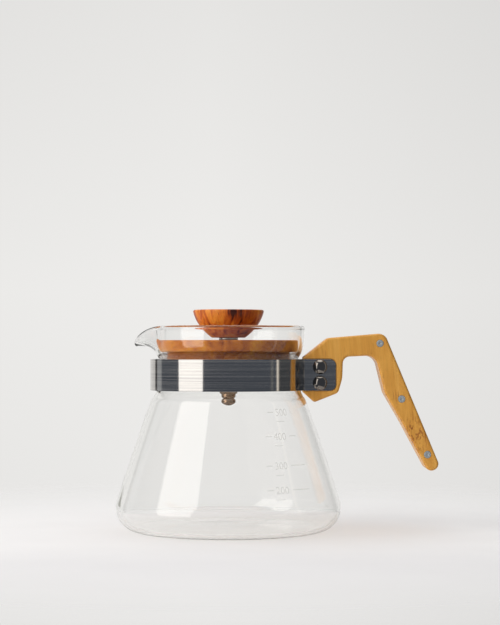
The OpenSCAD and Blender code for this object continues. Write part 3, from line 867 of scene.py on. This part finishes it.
def make_disc():
    """A flange that rests in the glass's shoulder, over a plug."""
    low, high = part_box("lid_disc")
    flange_r = high.x
    flange_h = 6.0 * mm
    flange_z = high.z - flange_h
    plug_r = 32.2 * mm
    edge = 1.0 * mm
    fillet = -0.4 * mm
    corners = [
        (0, low.z), (plug_r, low.z), (plug_r, flange_z), (flange_r, flange_z), (flange_r, high.z), (0, high.z)
    ]
    profile = rounded_profile(corners, [edge, fillet, edge, edge])
    piece = softened(revolve("lid_disc_wood", profile, segments=192, sharp=50), 0, 50)
    return finish_piece(piece, ["lid_disc"], "lid", disc_wood)


def make_knob():
    """A bowl whose side bends from the foot to a round edge, with a shallow dish on top."""
    low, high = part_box("lid_knob")
    foot_r = 8.7 * mm
    foot = Vector((foot_r, low.z))
    edge = 0.9 * mm
    dish = 0.25 * mm
    rim = Vector((high.x, high.z - edge))
    span = rim - foot
    lower = foot + Vector((span.x * 0.42, span.y * 0.22))
    upper = foot + Vector((span.x * 0.86, span.y * 0.55))
    side = bezier(foot, lower, upper, rim, 40)
    profile = [(0, low.z)] + [(p.x, p.y) for p, _ in side]
    profile += [(rim.x - edge + edge * unit(a).x, rim.y + edge * unit(a).y) for a in range(10, 91, 10)]
    profile += [(high.x * 0.8, high.z - dish / 2), (high.x * 0.5, high.z - dish), (0, high.z - dish)]
    piece = softened(revolve("lid_knob_wood", profile, segments=160, sharp=40), 0, 40)
    return finish_piece(piece, ["lid_knob"], "lid", knob_wood)


def make_plate(node, name, edge):
    """A flat round piece with eased edges, such as the spacer and the washer."""
    low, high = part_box(node)
    r = high.x
    profile = rounded_profile([(0, low.z), (r, low.z), (r, high.z), (0, high.z)], [edge, edge])
    piece = softened(revolve(name, profile, segments=96, sharp=50), 0, 50)
    # The plate's steel is darkened as painted shade.
    return finish_piece(piece, [node], "lid", shade_darkened_steel)


def make_stud():
    """A rod with a thread drawn as rings, root and crest by turns."""
    low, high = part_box("lid_stud")
    pitch = 0.8 * mm
    thread_depth = 0.35 * mm
    crest_ease = 0.02 * mm
    root_land = 0.05 * mm
    root, crest = high.x - thread_depth, high.x - crest_ease
    profile = [(0, low.z)]
    for k in range(int((high.z - low.z) / pitch)):
        z = low.z + k * pitch
        profile += [(root, z + root_land), (crest, z + pitch * 0.45)]
    profile += [(root, high.z - crest_ease), (0, high.z)]
    piece = revolve("lid_stud_thread", profile, segments=48, sharp=25)
    return finish_piece(piece, ["lid_stud"], "lid", bright_steel)


def make_cap_nut():
    """A hexagon with eased corners over a round dome."""
    low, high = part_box("lid_cap_nut")
    half_w = high.y
    hex_h = 4.5 * mm
    dome_share = 0.94
    dome_r = half_w * dome_share
    half_side = math.radians(30)
    corner_r = half_w / math.cos(half_side)
    drop = (corner_r - half_w) * math.tan(half_side)

    def hexagon(angle, r):
        if r < dome_r + 0.001 * mm:
            return r
        folded = (math.degrees(angle) % 60) - 30
        return min(r, half_w / math.cos(math.radians(folded)))

    top, shelf = high.z, high.z - hex_h
    profile = [(0, top), (half_w, top), (corner_r, top - drop), (corner_r, shelf + drop), (half_w, shelf)]
    profile += [(dome_r, shelf), (dome_r, low.z + dome_r)]
    for k in range(1, 14):
        a = math.radians(90 * k / 14)
        profile.append((dome_r * math.cos(a), low.z + dome_r - dome_r * math.sin(a)))
    profile.append((0, low.z))
    piece = softened(revolve("lid_cap_nut_dome", profile, segments=120, sharp=28, radius_at=hexagon), 0, 28)
    # The nut's brown tone is painted reflection of the wood, and painted shade.
    return finish_piece(piece, ["lid_cap_nut"], "lid", nut_steel_painted_reflection)


# Graduations: thin printed marks on the outside of the glass, to the right of its front. Each row has
# its number, its angle from the front, its height and the far end of its line, in mm.
GRADUATIONS = [("500", 28, 63.5, 15), ("400", 24, 51.5, 19), ("300", 22, 37, 24), ("200", 21, 25, 26)]
mark_lift = 0.04 * mm
mark_t = 0.42 * mm
small_mark_t = mark_t * 0.8
digit_h = 3.6 * mm
first_mark_end = 3.6 * mm
number_start = 4.6 * mm
line_start = 14.6 * mm
small_mark_end = 9.6 * mm
small_mark_drop = 4.6 * mm


def on_glass(place, u, v):
    """The point u to the right of and v above a place, which is (angle from the front, height)."""
    angle, z = place
    r = outer_radius(z + v) + mark_lift
    a = math.radians(angle) + u / r
    return (r * math.sin(a), -r * math.cos(a), z + v)


def add_stroke(verts, faces, place, start, end, height, thick):
    """A level mark from start to end, bent on to the glass."""
    steps = max(1, math.ceil(abs(end - start) / (1.2 * mm)))
    base = len(verts)
    for k in range(steps + 1):
        u = mix(start, end, k / steps)
        verts.append(on_glass(place, u, height - thick / 2))
        verts.append(on_glass(place, u, height + thick / 2))
    faces += [(base + 2 * k, base + 2 * k + 2, base + 2 * k + 3, base + 2 * k + 1) for k in range(steps)]


def add_number(verts, faces, place, text, start):
    """A plain number from the built-in font, bent on to the glass."""
    curve = bpy.data.curves.new("number", "FONT")
    curve.body = text
    curve.size = digit_h / 0.7
    curve.offset = -0.02 * mm
    flat = bpy.data.objects.new("number", curve)
    mesh = bpy.data.meshes.new_from_object(flat)
    base = len(verts)
    verts += [on_glass(place, start + p.co.x, p.co.y - digit_h / 2) for p in mesh.vertices]
    faces += [tuple(base + i for i in p.vertices) for p in mesh.polygons]
    bpy.data.objects.remove(flat)


def make_graduations():
    """Each row: a short mark, its number, its line, and a small mark below the number."""
    for text, angle, height, line_end in GRADUATIONS:
        place = (angle, height * mm)
        verts, faces = [], []
        add_stroke(verts, faces, place, 0, first_mark_end, 0, mark_t)
        add_number(verts, faces, place, text, number_start)
        add_stroke(verts, faces, place, line_start, line_end * mm, 0, mark_t)
        add_stroke(verts, faces, place, number_start, small_mark_end, -small_mark_drop, small_mark_t)
        piece = new_piece("graduation_" + text, verts, faces)
        finish_piece(piece, [], "carafe", ink)


make_glass()
make_liner()
make_band()
make_handle_half("handle_front_wood", "handle_half_front", -1, handle_wood_front)
make_handle_half("handle_rear_wood", "handle_half_rear", 1, handle_wood_rear)
for rivet_node in rivet_nodes:
    make_rivet(rivet_node)
for screw_node in screw_nodes:
    make_head(screw_node, -1)
for nut_node in nut_nodes:
    make_head(nut_node, 1)
make_disc()
make_knob()
make_plate("knob_spacer", "knob_spacer_plate", 0.25 * mm)
make_plate("lid_washer", "lid_washer_plate", 0.15 * mm)
make_stud()
make_cap_nut()
make_graduations()

# Studio: a wide pale floor that fades into the backdrop, a tall softbox at the left, and flags
PAPER = (0.94, 0.93, 0.91)
GREY_WALL = (0.50, 0.52, 0.54)
BLACK_CLOTH = (0.035, 0.036, 0.038)
GREY_CLOTH = (0.100, 0.106, 0.114)
ROOM_DARK = (0.126, 0.142, 0.172)
ROOM_SIDE = (0.30, 0.30, 0.29)
STRIP = (1.5, 1.38, 1.2)
CEILING = (2.6, 2.55, 2.45)
CEILING_FROM_TO = (0.86, 0.97)
ROOM_LEVEL = 0.585
ROOM_SLOPE = (-0.60, 0.13, 0.36)
ROOM_LEAST = 0.02
FLOOR_REACH = 1.6
FLOOR_FADE = (0.11, 0.40)
FLOOR_GLOSS_FADE = (0.10, 0.14)
# Painted shade on the floor near the camera: its tone, and the span of Y over which it fades out.
FRONT_PAINTED_SHADE = (0.92, 0.92, 0.93)
FRONT_SHADE_FROM_TO = (-0.15, -0.07)

# Flags that gloss sees round the object, by their turn from the front: negative is to the left
FLAGS = [
    (-180, PAPER), (-136, PAPER), (-134, BLACK_CLOTH), (-129, BLACK_CLOTH), (-127, GREY_WALL),
    (-116, GREY_WALL), (-113, ROOM_DARK), (64, ROOM_DARK), (67, ROOM_SIDE), (70, ROOM_DARK),
    (74.5, ROOM_DARK), (76, STRIP), (78, STRIP), (79.5, GREY_CLOTH), (104, GREY_CLOTH),
    (108, BLACK_CLOTH), (142, BLACK_CLOTH), (150, PAPER),
]

# The backdrop is one pale paper, brightest behind the object, with a plain falloff to each side
BACKDROP = colour(238, 237, 235)
HEIGHT_FROM_TO = (-0.15, 0.3)
HEIGHT_LEVELS = [(-0.15, 0.94), (0.03, 1.0), (0.3, 0.86)]
WIDTH_FROM_TO = (-0.2, 0.2)
WIDTH_LEVELS = [(-0.2, 0.96), (-0.02, 1.0), (0.2, 0.88)]


def share_of(value, span):
    """The place of a value in a span, from 0 to 1."""
    return (value - span[0]) / (span[1] - span[0])


def make_floor():
    """A sheet of pale paper, with painted shade that darkens it towards the camera, which fades into the
    backdrop some way from the object.
    """
    rings, spokes = 16, 96
    verts = [(0, 0, 0)]
    for i in range(1, rings + 1):
        r = FLOOR_REACH * (i / rings) ** 1.5
        verts += [(r * unit(360 * k / spokes).x, r * unit(360 * k / spokes).y, 0) for k in range(spokes)]
    faces = [(0, 1 + k, 1 + (k + 1) % spokes) for k in range(spokes)]
    for i in range(rings - 1):
        a, b = 1 + i * spokes, 1 + (i + 1) * spokes
        faces += [(a + k, b + k, b + (k + 1) % spokes, a + (k + 1) % spokes) for k in range(spokes)]
    floor = new_piece("studio_floor", verts, faces)
    floor.location.z = -0.02 * mm
    s = Shader("studio_floor")
    away = s.vector("LENGTH", s.coords())
    fade = s.range(away, FLOOR_FADE, interpolation="SMOOTHSTEP")
    gloss_fade = s.range(away, FLOOR_GLOSS_FADE, interpolation="SMOOTHSTEP")
    is_gloss = s.add("ShaderNodeLightPath").outputs["Is Glossy Ray"]
    gone = s.sum("MAXIMUM", fade, s.sum("MULTIPLY", gloss_fade, is_gloss))
    paper = s.noise(s.coords(), scale=26)
    sheet_tone = s.ramp(paper, [(0.3, colour(241, 240, 240)), (0.7, colour(243, 242, 242))])
    # Painted shade: the sheet darkens towards the front, nearest the camera.
    split = s.put(s.add("ShaderNodeSeparateXYZ"), Vector=s.coords())
    front_painted_shade = s.ramp(s.range(split.outputs["Y"], FRONT_SHADE_FROM_TO), [(0.0, FRONT_PAINTED_SHADE), (1.0, (1, 1, 1))])
    sheet = s.shader("ShaderNodeBsdfDiffuse", Color=s.blend("MULTIPLY", 1.0, sheet_tone, front_painted_shade))
    floor.data.materials.append(s.mixed(gone, sheet, s.shader("ShaderNodeBsdfTransparent")))


def make_world():
    """The backdrop's colour for the camera and through the glass, a soft room for plain surfaces, and
    for gloss the same room with its flags: dark cloths round the camera, pale paper behind."""
    world = bpy.data.worlds.new("studio")
    world.use_nodes = True
    scene.world = world
    s = Nodes(world.node_tree)
    towards = s.add("ShaderNodeTexCoord").outputs["Generated"]
    x, y, z = s.put(s.add("ShaderNodeSeparateXYZ"), Vector=towards).outputs

    turn = s.sum("ARCTAN2", x, s.sum("MULTIPLY", y, -1))
    flag_stops = [(share_of(a, (-180, 180)), tone) for a, tone in FLAGS]
    flags = s.ramp(s.range(turn, (-math.pi, math.pi)), flag_stops)
    mirrored = s.blend("MIX", s.range(z, CEILING_FROM_TO), flags, (*CEILING, 1))

    slope = s.vector("DOT_PRODUCT", towards, ROOM_SLOPE)
    room = s.sum("MAXIMUM", s.sum("ADD", slope, ROOM_LEVEL), ROOM_LEAST)

    height_stops = [(share_of(h, HEIGHT_FROM_TO), (v, v, v)) for h, v in HEIGHT_LEVELS]
    width_stops = [(share_of(w, WIDTH_FROM_TO), (v, v, v)) for w, v in WIDTH_LEVELS]
    by_height = s.ramp(s.range(z, HEIGHT_FROM_TO), height_stops)
    by_width = s.ramp(s.range(x, WIDTH_FROM_TO), width_stops)
    falloff = s.blend("MULTIPLY", 1.0, by_height, by_width)
    shown = s.blend("MULTIPLY", 1.0, (*BACKDROP, 1), falloff)

    path = s.add("ShaderNodeLightPath")
    seen = s.sum("MAXIMUM", path.outputs["Is Camera Ray"], path.outputs["Is Transmission Ray"])
    unseen = s.blend("MIX", path.outputs["Is Glossy Ray"], room, mirrored)
    background = s.shader("ShaderNodeBackground", Color=s.blend("MIX", seen, unseen, shown))
    s.put(s.add("ShaderNodeOutputWorld"), Surface=background)


def make_low_card():
    """A low olive card outside the picture at the left, which the heel of the glass bends into view."""
    left, right, far, high = -0.250, -0.182, 0.30, 0.0365
    nearer = 0.03
    verts = [(left, far - nearer, 0), (right, far, 0), (right, far, high), (left, far - nearer, high)]
    card = new_piece("studio_low_card", verts, [(0, 1, 2, 3)])
    s = Shader("studio_low_card")
    grain = s.noise(s.coords(), scale=300)
    tone = s.ramp(grain, [(0.3, colour(146, 148, 132)), (0.7, colour(156, 157, 142))])
    s.put(s.out, Surface=s.shader("ShaderNodeBsdfDiffuse", Color=tone))
    card.data.materials.append(s.material)
    card.visible_camera = False
    card.visible_diffuse = False
    card.visible_glossy = False
    card.visible_shadow = False


# The softbox leans over the object from the left. It reaches below the table's level, where only the
# upright glass and the screws mirror it.
key_turn = math.radians(-56)
key_far = 1.15
key_w, key_h = 0.97, 1.19
key_z, key_target_z = 0.56, 0.08
key_drop = 0.6
key_radiance = 2.2
KEY_TINT = (1.0, 0.965, 0.92)


def make_softbox():
    """The lamp keeps the lean that it has from its height to its target, and slides down along itself."""
    lean = math.atan2(key_z - key_target_z, key_far)
    far = key_far + key_drop / 2 * math.sin(lean)
    z = key_z - key_drop / 2 * math.cos(lean)
    target = Vector((0, 0, z - far * math.tan(lean)))
    height = key_h + key_drop
    lamp = bpy.data.lights.new("key_softbox", "AREA")
    lamp.shape = "RECTANGLE"
    lamp.size = key_w
    lamp.size_y = height
    lamp.energy = key_radiance * math.pi * key_w * height
    lamp.color = KEY_TINT
    box = bpy.data.objects.new("key_softbox", lamp)
    scene.collection.objects.link(box)
    box.location = (far * math.sin(key_turn), -far * math.cos(key_turn), z)
    box.rotation_euler = (target - box.location).to_track_quat("-Z", "Y").to_euler()
    box.visible_camera = False


make_floor()
make_world()
make_low_card()
make_softbox()

# Camera: the axis lies 21.5 pixels left of the frame's middle, and the horizon 34.5 below it
pixel = 0.526 * mm
camera_far = 1.0
sensor_h = 36
frame_w, frame_h = 500, 625
axis_px, horizon_px, ground_px = 228.5, 347.0, 530.7
camera_data = bpy.data.cameras.new("camera")
camera_data.sensor_fit = "VERTICAL"
camera_data.sensor_height = sensor_h
camera_data.lens = sensor_h * camera_far / (frame_h * pixel)
camera_data.clip_start = 0.01
camera = bpy.data.objects.new("camera", camera_data)
scene.collection.objects.link(camera)
tilt = math.atan((horizon_px - frame_h / 2) * pixel / camera_far)
camera.location = ((frame_w / 2 - axis_px) * pixel, -camera_far, (ground_px - horizon_px) * pixel)
camera.rotation_euler = (math.radians(90) + tilt, 0, 0)
scene.camera = camera
scene.view_settings.view_transform = "Standard"
